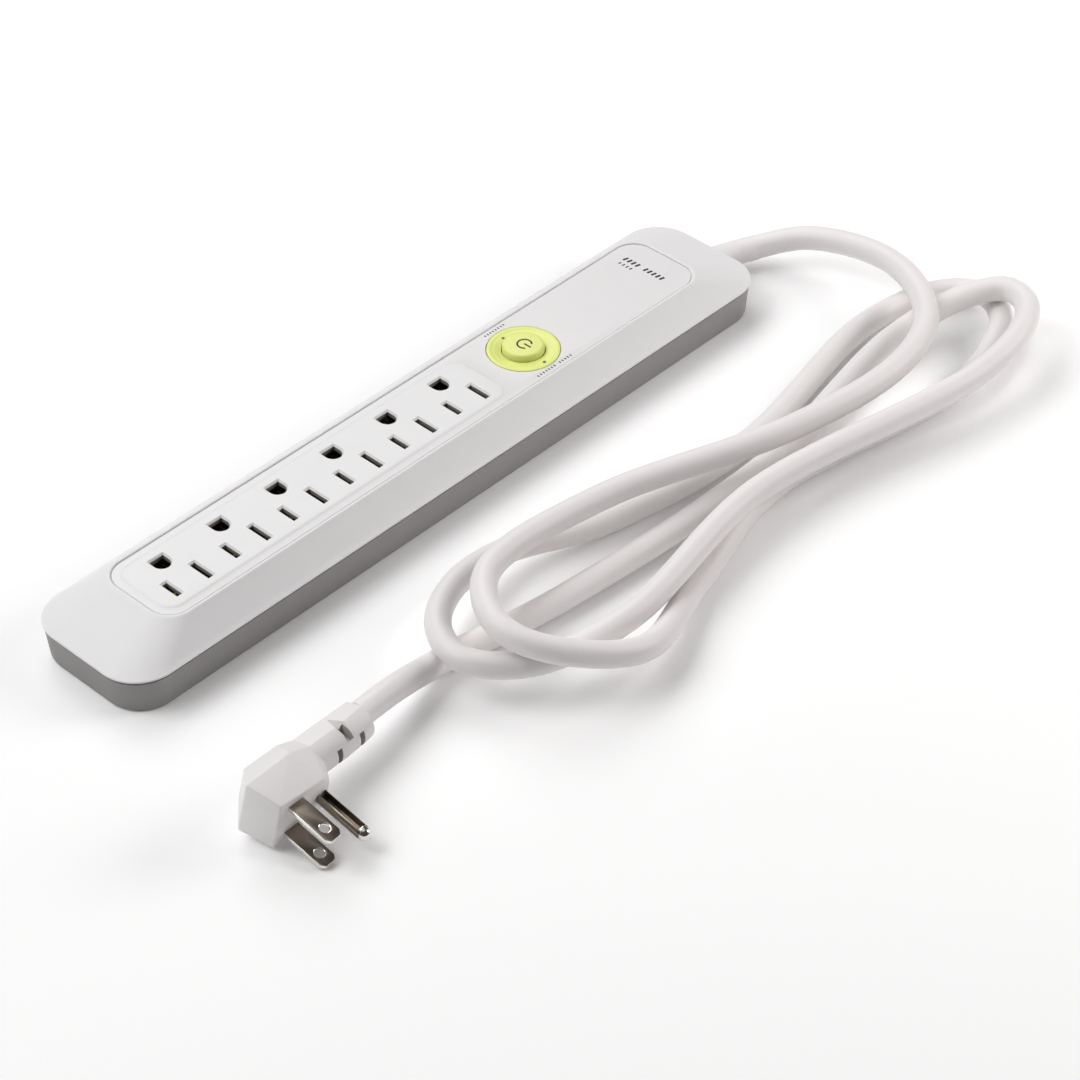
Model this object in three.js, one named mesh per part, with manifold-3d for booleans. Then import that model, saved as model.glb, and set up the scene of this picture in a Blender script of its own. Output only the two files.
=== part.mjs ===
// Six-outlet surge-protected power strip with its cord and right-angle plug.
// Millimetres. +X runs along the strip to the cord end, +Y to the earth-hole side, +Z up.
// The origin is the middle of the housing's underside.
import * as THREE from 'three';
import { ConvexGeometry } from 'three/addons/geometries/ConvexGeometry.js';
import { mergeVertices } from 'three/addons/utils/BufferGeometryUtils.js';
import Module from 'manifold-3d';

const wasm = await Module();
wasm.setup();

// ---------------------------------------------------------------- driving dimensions
const GAP = 0.3; // clearance between neighbouring pieces
const HALF_LENGTH = 151.45; // housing, at the seam
const HALF_WIDTH = 27.3;
const SEAM_RADIUS = 14.8;
const SEAM_Z = 13.2;
const TOP_Z = 22.5; // cover shoulder and outlet island
const BUTTON_TOP_Z = 24.4;
const FLOOR = 1.4; // thickness of the base's floor

const PANEL = { halfX: 126.6, halfY: 16.34, radius: 7.95 };
const PANEL_TOP_Z = 22.3;
const PANEL_UNDER_Z = 20.3;
const ISLAND = { fromX: -124.1, toX: 32, halfY: 13.84, radius: 5.8 };

const OUTLETS = 6;
const FIRST_SLOT_X = -115.75;
const OUTLET_PITCH = 25.42;
const SLOT_SPACING = 12.7; // line slot to neutral slot
const SLOT_Y = -5.4;
const EARTH_Y = 6.5;
const LINE_SLOT = { halfX: 1, halfY: 3.75 };
const NEUTRAL_SLOT = { halfX: 1, halfY: 4.55 };
const EARTH_HOLE = { radius: 2.9, flatY: 3.1 };
const LEAD_IN = 0.45; // bevel round every slot

const SWITCH_X = 52.05;
const BEZEL_RADIUS = 12.95;
const BUTTON_RADIUS = 7.5;
const BUTTON_BOTTOM_Z = 15.5;
const SWITCH_TOP_Z = 11.2;
const INDICATORS = [
  { name: 'earth_indicator', x: 51.8, y: 9.5 },
  { name: 'surge_indicator', x: 51.7, y: -10.5 },
];

const CASE_SCREWS = [
  [-141, 17], [-141, -17], [0, 19.9], [0, -19.9], [141, 17], [141, -17],
];
const KEYHOLES_X = [-84, 84];
const KEYHOLE = { headRadius: 4.1, slotRadius: 2, slide: 9 };

const CORD_RADIUS = 4.5;
const CORD_SIDES = 12;
const CORD_STEPS = 130;
const CORD_Z = 7.5; // height at which the cord leaves the housing
const RELIEF_LENGTH = 20; // strain relief outside the wall, along the cord
const RELIEF_RADIUS = { atWall: 4.95, atEnd: 4.6 }; // hardly more than the cord
const CORD_ROUTE = [
  [151, 0, 7.5], [164, -3.9, 7], [181, -22, 13], [183.5, -58.5, 19], [164, -90, 21.5],
  [134.5, -101, 21.5], [83.5, -95.5, 20.5], [13.5, -73, 20], [-44, -76, 25.5], [-60, -96.5, 26],
  [-56.5, -111, 23.5], [-28.5, -128, 14], [15.5, -113.5, 5.5], [69.5, -99.8, 5], [152, -112, 6],
  [179, -109, 8], [198, -98, 8], [204, -85.5, 7], [195.5, -72, 5.5], [163, -64.5, 5],
  [80, -78, 5], [18, -70.5, 5], [-21.5, -60, 10], [-49, -64, 14], [-65.5, -75, 14.8],
  [-70.5, -91, 15], [-57.5, -107, 14.5], [-22.5, -116, 15.3], [55, -104.5, 15], [153.5, -120, 16],
  [181, -118.5, 19], [196.5, -109.5, 19], [199.5, -98.5, 18], [189, -87.5, 14.5], [158, -80, 9],
  [78, -90.3, 5], [-18.5, -86.5, 5], [-68.5, -79, 5.6], [-93.5, -82.5, 12.2], [-109.5, -84, 13.5],
];

// The plug lies tilted: origin between the blades on its face, ALONG to the cord, OUT along the blades.
const PLUG_ORIGIN = new THREE.Vector3(-151.8, -99, 11.4);
const PLUG_ALONG = new THREE.Vector3(0.9992, 0.0335, -0.0231);
const PLUG_OUT = new THREE.Vector3(0.0276, -0.975, -0.2206);
const BLADE = {
  spacing: 12.7, width: 6.35, thickness: 1.5, length: 17.6, holeAt: 12.7, holeRadius: 1.65,
};
const EARTH_PIN = { along: 11.9, radius: 2.4, length: 21, channelHalf: 1.35 };
const NECK_END = 42.3; // along, where the cord goes in
const PLUG_FACE = 0.5; // out, the face that the blades stand on
const PLUG_BACK = -18.7; // out, the face opposite the blades

// ---------------------------------------------------------------- materials
const material = (color, roughness, metalness = 0) =>
  new THREE.MeshStandardMaterial({ color, roughness, metalness });
const WHITE = material(0xe9e9ea, 0.5);
const PANEL_WHITE = material(0xf0f0f0, 0.4);
const GREY = material(0x9d9d9e, 0.6);
const LIME = material(0xe8f06a, 0.4);
const CORD_GREY = material(0xdcdbdc, 0.6);
const BRASS = material(0xc9a24b, 0.35, 1);
const NICKEL = material(0xc4bfb4, 0.3, 1);
const STEEL = material(0xa9abae, 0.35, 1);
const BLACK = material(0x1f1f21, 0.5);
const NATURAL = material(0xd8d4c6, 0.6);
const BOARD = material(0x2f6b45, 0.5);
const VARISTOR_BLUE = material(0x2d4f8f, 0.5);
const LENS = material(0x93a08f, 0.2);
const WIRE_BLACK = material(0x232323, 0.5);
const WIRE_WHITE = material(0xededea, 0.5);
const WIRE_GREEN = material(0x2f8a4a, 0.5);

// ---------------------------------------------------------------- solids
/** A closed geometry as a solid, whichever way its faces point. */
function solid(geometry) {
  const bare = geometry.index ? geometry : geometry.clone();
  bare.deleteAttribute('normal');
  bare.deleteAttribute('uv');
  const merged = mergeVertices(bare, 1e-3);
  const vertProperties = new Float32Array(merged.attributes.position.array);
  const triVerts = new Uint32Array(merged.index.array);
  const made = new wasm.Manifold(new wasm.Mesh({ numProp: 3, vertProperties, triVerts }));
  if (made.volume() > 0) return made;
  return new wasm.Manifold(
    new wasm.Mesh({ numProp: 3, vertProperties, triVerts: triVerts.reverse() }));
}

const join = (first, ...rest) => rest.reduce((sum, next) => sum.add(next), first);
const cut = (first, ...rest) => rest.reduce((left, next) => left.subtract(next), first);

/** The skin over a stack of rings with the same number of points, closed by flat caps. */
function skin(rings) {
  const count = rings[0].length;
  const index = [];
  for (let ring = 0; ring + 1 < rings.length; ring++) {
    for (let i = 0; i < count; i++) {
      const a = ring * count + i;
      const b = ring * count + ((i + 1) % count);
      index.push(a, b, b + count, a, b + count, a + count);
    }
  }
  const last = (rings.length - 1) * count;
  for (let i = 1; i + 1 < count; i++) {
    index.push(0, i + 1, i);
    index.push(last, last + i, last + i + 1);
  }
  const geometry = new THREE.BufferGeometry();
  geometry.setAttribute('position', new THREE.Float32BufferAttribute(rings.flat(2), 3));
  geometry.setIndex(index);
  return solid(geometry);
}

/** A rounded rectangle as a ring of points at height z. */
function roundedRing(halfX, halfY, radius, z, steps = 7) {
  const ring = [];
  for (let corner = 0; corner < 4; corner++) {
    const sideX = corner === 0 || corner === 3 ? 1 : -1;
    const sideY = corner < 2 ? 1 : -1;
    for (let step = 0; step <= steps; step++) {
      const angle = (corner + step / steps) * (Math.PI / 2);
      const x = sideX * (halfX - radius) + radius * Math.cos(angle);
      const y = sideY * (halfY - radius) + radius * Math.sin(angle);
      ring.push([x, y, z]);
    }
  }
  return ring;
}

/** Rounded rectangles [halfX, halfY, radius, z] stacked into one solid. */
const loft = (...levels) => skin(levels.map((level) => roundedRing(...level)));

/** The prism over points [x, y] between two heights. */
const prism = (points, fromZ, toZ) =>
  skin([fromZ, toZ].map((z) => points.map(([x, y]) => [x, y, z])));

const box = (fromX, toX, fromY, toY, fromZ, toZ) =>
  prism([[fromX, fromY], [toX, fromY], [toX, toY], [fromX, toY]], fromZ, toZ);

/** Upright discs [radius, z] stacked round one axis. */
function turned(x, y, levels, sides = 32) {
  const rings = levels.map(([radius, z]) => {
    const ring = [];
    for (let i = 0; i < sides; i++) {
      const angle = (i * 2 * Math.PI) / sides;
      ring.push([x + radius * Math.cos(angle), y + radius * Math.sin(angle), z]);
    }
    return ring;
  });
  return skin(rings);
}

const rod = (x, y, radius, fromZ, toZ, sides = 20) =>
  turned(x, y, [[radius, fromZ], [radius, toZ]], sides);

/** A cylinder along X. */
const rodAlongX = (y, z, radius, fromX, toX, sides = 24) =>
  rod(0, 0, radius, fromX, toX, sides).rotate([0, 90, 0]).translate([0, y, z]);

/** A round bar along a curve. */
function bar(curve, radius, sides, steps) {
  const round = new THREE.Shape();
  for (let i = 0; i < sides; i++) {
    const angle = (i * 2 * Math.PI) / sides;
    const point = [radius * Math.cos(angle), radius * Math.sin(angle)];
    if (i === 0) round.moveTo(...point);
    else round.lineTo(...point);
  }
  const options = { steps, extrudePath: curve, bevelEnabled: false, curveSegments: 1 };
  return solid(new THREE.ExtrudeGeometry(round, options));
}

const curveThrough = (points) =>
  new THREE.CatmullRomCurve3(points.map((p) => new THREE.Vector3(...p)), false, 'centripetal');

/** The stretch of another curve between two distances along it. */
class Stretch extends THREE.Curve {
  constructor(whole, from, to) {
    super();
    const length = whole.getLength();
    this.whole = whole;
    this.from = from / length;
    this.span = (to - from) / length;
  }
  getPoint(t, target = new THREE.Vector3()) {
    return this.whole.getPointAt(this.from + this.span * t, target);
  }
}

const group = new THREE.Group();

/** Adds one named piece. */
function add(name, body, look) {
  const { vertProperties, triVerts } = body.getMesh();
  const geometry = new THREE.BufferGeometry();
  geometry.setAttribute('position', new THREE.BufferAttribute(vertProperties, 3));
  geometry.setIndex(new THREE.BufferAttribute(triVerts, 1));
  const flat = geometry.toNonIndexed();
  flat.computeVertexNormals();
  const mesh = new THREE.Mesh(flat, look);
  mesh.name = name;
  group.add(mesh);
}

// ---------------------------------------------------------------- base
const BOSS_TOP_Z = 9;
const SCREW = { headRadius: 2.8, headZ: 0.5, neckZ: 2.3, shankRadius: 1.35, tipZ: 14 };
const BOARD_POSTS = [[78, 12], [78, -12], [114, 12], [114, -12]];
const BOARD_UNDER_Z = 5;
const CLAMP = { x: 131, halfX: 3, halfY: 11, postY: 8.3, underZ: 8.5, topZ: 14.3 };

/** A hanging hole through the floor: a screw head goes in at x and slides towards +X. */
function keyhole(x) {
  const { headRadius, slotRadius, slide } = KEYHOLE;
  const head = rod(x, 0, headRadius, -1, FLOOR + 1, 24);
  const slot = box(x, x + slide, -slotRadius, slotRadius, -1, FLOOR + 1);
  return join(head, slot, rod(x + slide, 0, slotRadius, -1, FLOOR + 1, 16));
}

function baseTray() {
  const outside = loft(
    [149.4, 25.3, 12.9, 0],
    [149.85, 25.7, 13.2, 0.25],
    [150, 25.85, 13.3, 0.8],
    [HALF_LENGTH - 0.35, HALF_WIDTH - 0.35, SEAM_RADIUS - 0.4, SEAM_Z - GAP],
  );
  const inside = loft([147.6, 23.4, 11, FLOOR], [149.1, 24.9, 12.4, SEAM_Z + 0.3]);
  const bosses = CASE_SCREWS.map(([x, y]) => rod(x, y, 3.9, 0.5, BOSS_TOP_Z));
  const holes = CASE_SCREWS.flatMap(([x, y]) => [
    rod(x, y, SCREW.shankRadius + 0.4, -1, BOSS_TOP_Z + 1),
    rod(x, y, SCREW.headRadius + 0.4, -1, SCREW.neckZ + GAP),
  ]);
  const posts = BOARD_POSTS.map(([x, y]) => rod(x, y, 2, FLOOR - 0.4, BOARD_UNDER_Z - GAP, 12));
  const clampPosts = [1, -1].map((side) =>
    cut(
      rod(CLAMP.x, side * CLAMP.postY, 2.6, FLOOR - 0.4, CLAMP.underZ - GAP),
      rod(CLAMP.x, side * CLAMP.postY, 1.5, 3.5, CLAMP.underZ + 1, 12),
    ));
  const switchRails = [43, 58].map((x) => box(x, x + 3, -5, 5, FLOOR - 0.4, 2));
  const shell = cut(outside, inside);
  return cut(
    join(shell, ...bosses, ...posts, ...clampPosts, ...switchRails),
    ...holes,
    ...KEYHOLES_X.map(keyhole),
    rodAlongX(0, CORD_Z, 5.2, 145, 155),
  );
}
add('base_tray', baseTray(), GREY);

CASE_SCREWS.forEach(([x, y], i) => {
  const head = rod(x, y, SCREW.headRadius, SCREW.headZ, SCREW.neckZ, 16);
  const shank = rod(x, y, SCREW.shankRadius, SCREW.neckZ - 0.2, SCREW.tipZ, 12);
  const cross = join(
    box(x - 1.7, x + 1.7, y - 0.4, y + 0.4, 0, 1.3),
    box(x - 0.4, x + 0.4, y - 1.7, y + 1.7, 0, 1.3),
  );
  add(`case_screw_${i + 1}`, cut(join(head, shank), cross), STEEL);
});

// ---------------------------------------------------------------- cover
const SHOULDER = { halfX: 128, halfY: 17.7, radius: 9.3 };
const LEDGE_Z = 20;
const CAVITY_TOP_Z = 18.4;
const TONGUE = [148.5, 24.3, 12]; // the cover's skirt inside the base: half length, half width, radius
const TONGUE_Z = 11.2;
const CAVITY = [147, 22.9, 10.6];
const SEAT_GAP = 0.45; // groove round the face panel

function topCover() {
  const outside = loft(
    [HALF_LENGTH - 0.15, HALF_WIDTH - 0.15, SEAM_RADIUS - 0.1, SEAM_Z],
    [HALF_LENGTH, HALF_WIDTH, SEAM_RADIUS, SEAM_Z + 0.3],
    [HALF_LENGTH - 0.7, HALF_WIDTH - 0.5, SEAM_RADIUS - 0.3, SEAM_Z + 0.75],
    [129.6, 18.35, 9.9, TOP_Z - 0.55],
    [128.7, 17.95, 9.6, TOP_Z - 0.15],
    [SHOULDER.halfX, SHOULDER.halfY - 0.1, SHOULDER.radius, TOP_Z],
  );
  const tongue = loft([...TONGUE, TONGUE_Z], [...TONGUE, SEAM_Z + 0.6]);
  const cavity = loft(
    [...CAVITY, TONGUE_Z - 1], [...CAVITY, SEAM_Z + 1.3], [132.9, 19.2, 8, CAVITY_TOP_Z]);
  const ledgeOpening = loft([125.6, 15.3, 6.9, CAVITY_TOP_Z - 1], [125.6, 15.3, 6.9, LEDGE_Z + 1]);
  const panelSeat = loft(
    [PANEL.halfX + SEAT_GAP, PANEL.halfY + SEAT_GAP, PANEL.radius + SEAT_GAP, LEDGE_Z],
    [PANEL.halfX + SEAT_GAP, PANEL.halfY + SEAT_GAP, PANEL.radius + SEAT_GAP, TOP_Z - 0.2],
    [PANEL.halfX + 0.85, PANEL.halfY + 0.85, PANEL.radius + 0.85, TOP_Z + 0.2],
  );
  const shell = cut(join(outside, tongue), cavity, ledgeOpening, panelSeat);
  const envelope = join(outside, loft([...TONGUE, BOSS_TOP_Z], [...TONGUE, SEAM_Z + 0.6]));
  const posts = CASE_SCREWS.map(([x, y]) =>
    rod(x, y, 3.4, BOSS_TOP_Z + GAP, TOP_Z).intersect(envelope));
  const screwHoles = CASE_SCREWS.map(([x, y]) =>
    rod(x, y, SCREW.shankRadius + GAP, BOSS_TOP_Z - 1, SCREW.tipZ + 0.5, 16));
  const reliefNotch = rodAlongX(0, CORD_Z, 6.3, 140, 150);
  return cut(join(shell, ...posts), ...screwHoles, reliefNotch);
}
add('top_cover', topCover(), WHITE);

// ---------------------------------------------------------------- face panel
/** A hole through the panel, widened by a bevel at the island's top. outline(growth) gives its points. */
function bevelledHole(outline, x, y) {
  const levels = [
    [0, PANEL_UNDER_Z - 4],
    [0, TOP_Z - LEAD_IN],
    [LEAD_IN + 0.2, TOP_Z + 0.2],
  ];
  return skin(levels.map(([growth, z]) =>
    outline(growth).map(([dx, dy]) => [x + dx, y + dy, z])));
}

const slotOutline = ({ halfX, halfY }) => (growth) => {
  const a = halfX + growth;
  const b = halfY + growth;
  return [[-a, -b], [a, -b], [a, b], [-a, b]];
};

/** The earth hole: flat towards +Y, round towards -Y. */
function earthOutline(growth) {
  const radius = EARTH_HOLE.radius + growth;
  const flat = EARTH_HOLE.flatY + growth;
  const points = [[radius, flat], [-radius, flat]];
  for (let step = 0; step <= 12; step++) {
    const angle = Math.PI * (1 + step / 12);
    points.push([radius * Math.cos(angle), radius * Math.sin(angle)]);
  }
  return points;
}

const outletX = Array.from({ length: OUTLETS }, (_, i) => FIRST_SLOT_X + OUTLET_PITCH * i);
const BOARD_PINS = [[14.2, 9], [14.2, -9], [-14.2, 9], [-14.2, -9]];
const INDICATOR_BOARD = { halfX: 16, halfY: 12.5, underZ: 13.5, topZ: 14.8 };

function facePanel() {
  const plate = loft(
    [PANEL.halfX, PANEL.halfY, PANEL.radius, PANEL_UNDER_Z],
    [PANEL.halfX, PANEL.halfY, PANEL.radius, PANEL_TOP_Z - 0.3],
    [PANEL.halfX - 0.3, PANEL.halfY - 0.3, PANEL.radius - 0.3, PANEL_TOP_Z],
  );
  const islandHalf = (ISLAND.toX - ISLAND.fromX) / 2;
  const island = loft(
    [islandHalf, ISLAND.halfY, ISLAND.radius, PANEL_TOP_Z - 0.5],
    [islandHalf, ISLAND.halfY, ISLAND.radius, PANEL_TOP_Z],
    [islandHalf - 0.5, ISLAND.halfY - 0.5, ISLAND.radius - 0.5, TOP_Z],
  ).translate([(ISLAND.fromX + ISLAND.toX) / 2, 0, 0]);
  const rim = cut(
    loft([125.2, 14.9, 6.5, 17.6], [125.2, 14.9, 6.5, PANEL_UNDER_Z + 0.2]),
    loft([124, 13.7, 5.3, 17], [124, 13.7, 5.3, PANEL_UNDER_Z + 0.1]),
  );
  const pins = BOARD_PINS.map(([dx, dy]) =>
    rod(SWITCH_X + dx, dy, 1.2, INDICATOR_BOARD.topZ + GAP, PANEL_UNDER_Z + 0.2, 10));
  const holes = outletX.flatMap((x) => [
    bevelledHole(slotOutline(LINE_SLOT), x, SLOT_Y),
    bevelledHole(slotOutline(NEUTRAL_SLOT), x + SLOT_SPACING, SLOT_Y),
    bevelledHole(earthOutline, x + SLOT_SPACING / 2, EARTH_Y),
  ]);
  const bezelSeat = join(
    rod(SWITCH_X, 0, BEZEL_RADIUS + GAP, 20.9, TOP_Z + 1, 48),
    rod(SWITCH_X, 0, 12.2, PANEL_UNDER_Z - 1, 21.2, 48),
  );
  return cut(join(plate, island, rim, ...pins), ...holes, bezelSeat);
}
add('face_panel', facePanel(), PANEL_WHITE);

// ---------------------------------------------------------------- switch
const SKIRT_Z = 17.5;

function switchBezel() {
  const disc = turned(SWITCH_X, 0, [
    [11.9, SKIRT_Z], [11.9, 21.2], [BEZEL_RADIUS, 21.2],
    [BEZEL_RADIUS, PANEL_TOP_Z - 0.2], [BEZEL_RADIUS - 0.2, PANEL_TOP_Z],
  ], 48);
  const dish = turned(SWITCH_X, 0, [[10.9, PANEL_TOP_Z - 0.2], [11.5, PANEL_TOP_Z + 0.2]], 48);
  const bore = rod(SWITCH_X, 0, BUTTON_RADIUS + 0.35, SKIRT_Z - 1, TOP_Z + 1, 40);
  const pockets = INDICATORS.flatMap(({ x, y }) => [
    rod(x, y, 1.35, SKIRT_Z - 1, 19.7, 12),
    rod(x, y, 0.8, SKIRT_Z - 1, TOP_Z + 1, 12),
  ]);
  return cut(disc, dish, bore, ...pockets);
}
add('switch_bezel', switchBezel(), LIME);

add('switch_button', turned(SWITCH_X, 0, [
  [8.2, BUTTON_BOTTOM_Z], [8.2, SKIRT_Z - GAP], [BUTTON_RADIUS, SKIRT_Z - GAP],
  [BUTTON_RADIUS, 22.6], [7.25, BUTTON_TOP_Z - 0.45], [7.1, BUTTON_TOP_Z - 0.15],
  [6.8, BUTTON_TOP_Z],
], 40), LIME);

add('switch_plunger', rod(SWITCH_X, 0, 2, 10.2, BUTTON_BOTTOM_Z - GAP), NATURAL);

/** The return spring, standing on the switch under the button. */
class Coil extends THREE.Curve {
  getPoint(t, target = new THREE.Vector3()) {
    const angle = t * 2.75 * 2 * Math.PI;
    const wire = 0.35;
    const low = SWITCH_TOP_Z + GAP + wire;
    const high = BUTTON_BOTTOM_Z - GAP - wire;
    const z = low + (high - low) * t;
    return target.set(SWITCH_X + 3.4 * Math.cos(angle), 3.4 * Math.sin(angle), z);
  }
}
add('switch_spring', bar(new Coil(), 0.35, 6, 50), STEEL);

add('switch_body', cut(
  box(SWITCH_X - 8.5, SWITCH_X + 8.5, -6.5, 6.5, 2.3, SWITCH_TOP_Z),
  rod(SWITCH_X, 0, 2.4, 7, SWITCH_TOP_Z + 1),
), BLACK);
add('terminal_in', box(55, 59, -12, -6.8, 5, 5.8), BRASS);
add('terminal_out', box(45, 49, -12, -6.8, 5, 5.8), BRASS);

add('indicator_board', cut(
  box(
    SWITCH_X - INDICATOR_BOARD.halfX, SWITCH_X + INDICATOR_BOARD.halfX,
    -INDICATOR_BOARD.halfY, INDICATOR_BOARD.halfY,
    INDICATOR_BOARD.underZ, INDICATOR_BOARD.topZ,
  ),
  rod(SWITCH_X, 0, 8.55, 10, 18, 32),
), BOARD);
for (const { name, x, y } of INDICATORS) {
  const lamp = rod(x, y, 1, INDICATOR_BOARD.topZ + GAP, 19.4, 12);
  add(name, join(lamp, rod(x, y, 0.5, 19.2, 21.9, 12)), LENS);
}

// ---------------------------------------------------------------- contacts
const LEAF = { from: 0.95, to: 1.55, underZ: 7.5, topZ: 17.5 };
const STRIP = { underZ: 7.5, topZ: 13.5, fromX: -124, toX: 33 };
const RIB_Z = 9;
const LINE_STRIP_Y = [-12.4, -11.8];
const NEUTRAL_STRIP_Y = [-0.2, 0.4];
const EARTH_STRIP_Y = [10.4, 11];

/** A strip with a pair of leaves per outlet. near and far are the leaves' faces from the slot's middle. */
function contactStrip(stripY, slotOffset, leafFromY, leafToY, near, far) {
  const strip = box(STRIP.fromX, STRIP.toX, ...stripY, STRIP.underZ, STRIP.topZ);
  const leaves = outletX.flatMap((x) => [
    box(x + slotOffset + near, x + slotOffset + far, leafFromY, leafToY, LEAF.underZ, LEAF.topZ),
    box(x + slotOffset - far, x + slotOffset - near, leafFromY, leafToY, LEAF.underZ, LEAF.topZ),
  ]);
  return join(strip, ...leaves);
}
add('line_strip', contactStrip(LINE_STRIP_Y, 0, -12.1, -1.8, LEAF.from, LEAF.to), BRASS);
add('neutral_strip', contactStrip(NEUTRAL_STRIP_Y, SLOT_SPACING, -9.6, 0.1, LEAF.from, LEAF.to), BRASS);
add('earth_strip', contactStrip(EARTH_STRIP_Y, SLOT_SPACING / 2, 4.3, 10.7, 2.55, 3.15), BRASS);

function contactCarrier() {
  const under = FLOOR + GAP;
  const rails = [1, -1].map((side) =>
    box(-123, 31.2, side > 0 ? 14.1 : -15.7, side > 0 ? 15.7 : -14.1, under, RIB_Z));
  const ribX = Array.from({ length: OUTLETS + 1 }, (_, i) => FIRST_SLOT_X - 6.35 + OUTLET_PITCH * i);
  const ribs = ribX.map((x) => box(x - 0.8, x + 0.8, -14.5, 14.5, under, RIB_Z));
  const notches = [LINE_STRIP_Y, NEUTRAL_STRIP_Y, EARTH_STRIP_Y].map(([from, to]) =>
    box(-130, 40, from - GAP, to + GAP, STRIP.underZ - GAP, 20));
  return cut(join(...rails, ...ribs), ...notches);
}
add('contact_carrier', contactCarrier(), NATURAL);

// ---------------------------------------------------------------- surge board
const BOARD_TOP_Z = 6.6;
const VARISTORS_X = [84, 92, 100];
add('surge_board', box(74, 118, -15, 15, BOARD_UNDER_Z, BOARD_TOP_Z), BOARD);
VARISTORS_X.forEach((x, i) => {
  const disc = rodAlongX(0, 12, 5, x - 2, x + 2, 28);
  add(`varistor_${i + 1}`, disc, VARISTOR_BLUE);
});
add('thermal_fuse', rodAlongX(-8.5, 8.6, 1.5, 84, 96, 16), WHITE);

// ---------------------------------------------------------------- wires and cord entry
const WIRE_RADIUS = 1.1; // over the insulation
const WIRES = [
  ['line_wire', WIRE_BLACK, [[122.9, -2.4, 7.5], [120, -6, 8.5], [112, -12, 9], [92, -13.2, 9],
    [73, -15.5, 8], [63, -17, 6], [57.5, -15.5, 5.4], [57, -12.4, 5.4]]],
  ['switched_wire', WIRE_BLACK, [[47, -12.4, 5.4], [46, -15, 5.6], [41, -16, 7.5], [36.5, -13, 10],
    [33.4, -12.1, 10.5]]],
  ['neutral_wire', WIRE_WHITE, [[122.9, 0.2, 7.5], [118.5, 4, 9], [110, 9, 9.5], [80, 9.2, 9],
    [60, 9.3, 8], [44, 9.2, 8], [36, 3.5, 9.6], [33.4, 0.1, 10.5]]],
  ['earth_wire', WIRE_GREEN, [[122.9, 2.9, 7.5], [119, 8, 8.6], [112, 12.6, 9], [80, 12.8, 9],
    [58, 13, 8.5], [42, 12.6, 9.5], [33.4, 10.7, 10.5]]],
];
for (const [name, look, points] of WIRES) add(name, bar(curveThrough(points), WIRE_RADIUS, 8, 22), look);

add('inner_cord_end', rodAlongX(0, CORD_Z, CORD_RADIUS, 124, 144.1), CORD_GREY);
const clampScrews = [1, -1].map((side) => side * CLAMP.postY);
add('cord_clamp', cut(
  box(
    CLAMP.x - CLAMP.halfX, CLAMP.x + CLAMP.halfX, -CLAMP.halfY, CLAMP.halfY,
    CLAMP.underZ, CLAMP.topZ,
  ),
  rodAlongX(0, CORD_Z, CORD_RADIUS + GAP, 120, 140),
  ...clampScrews.map((y) => rod(CLAMP.x, y, 1.5, 5, 16, 12)),
), NATURAL);
clampScrews.forEach((y, i) => {
  const head = rod(CLAMP.x, y, 2.4, CLAMP.topZ + GAP, CLAMP.topZ + 1.8, 16);
  const shank = rod(CLAMP.x, y, 1.15, 4.2, CLAMP.topZ + 1, 10);
  add(`clamp_screw_${i + 1}`, join(head, shank), STEEL);
});

const route = curveThrough(CORD_ROUTE);
route.arcLengthDivisions = 2000;
const routeLength = route.getLength();

/** A ring of points of one radius round a curve, a given distance along it. */
function ringAround(curve, distance, radius, sides = 20) {
  const at = distance / curve.getLength();
  const middle = curve.getPointAt(at);
  const along = curve.getTangentAt(at);
  const side = new THREE.Vector3(0, 0, 1).cross(along).normalize();
  const up = along.clone().cross(side);
  const ring = [];
  for (let i = 0; i < sides; i++) {
    const angle = (i * 2 * Math.PI) / sides;
    const point = middle.clone()
      .addScaledVector(side, radius * Math.cos(angle))
      .addScaledVector(up, radius * Math.sin(angle));
    ring.push(point.toArray());
  }
  return ring;
}

/** The rubber sleeve: a flange inside the wall, a neck through it and a taper round the cord. */
function strainRelief() {
  const straight = [[144.5, 5.8], [147.4, 5.8], [147.4, 4.85], [150.8, 4.85]];
  const inner = new THREE.LineCurve3(
    new THREE.Vector3(140, 0, CORD_Z), new THREE.Vector3(151, 0, CORD_Z));
  const rings = straight.map(([x, radius]) => ringAround(inner, x - 140, radius));
  const steps = 7;
  const clearOfWall = 1.5;
  const taper = RELIEF_RADIUS.atWall - RELIEF_RADIUS.atEnd;
  for (let step = 0; step <= steps; step++) {
    const distance = clearOfWall + (step / steps) * (RELIEF_LENGTH - clearOfWall);
    rings.push(ringAround(route, distance, RELIEF_RADIUS.atWall - (step / steps) * taper));
  }
  return skin(rings);
}
add('strain_relief', strainRelief(), CORD_GREY);

const CORD_END_GAP = 0.9; // the cord meets the plug's end face at a small angle
const cordPath = new Stretch(route, RELIEF_LENGTH + GAP, routeLength - CORD_END_GAP);
add('power_cord', bar(cordPath, CORD_RADIUS, CORD_SIDES, CORD_STEPS), CORD_GREY);

// ---------------------------------------------------------------- plug
// In the plug's own frame x runs to the cord, y out of the face along the blades, z across both.
const plugAcross = PLUG_ALONG.clone().cross(PLUG_OUT).normalize();
const plugOut = plugAcross.clone().cross(PLUG_ALONG).normalize();
const plugFrame = new THREE.Matrix4()
  .makeBasis(PLUG_ALONG.clone().normalize(), plugOut, plugAcross)
  .setPosition(PLUG_ORIGIN);

/** A solid made in the plug's frame, moved to where the plug lies. */
const placed = (body) => body.transform(plugFrame.elements);

const bothSides = (points) => points.flatMap(([x, y, z]) => [[x, y, z], [x, y, -z]]);

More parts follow.
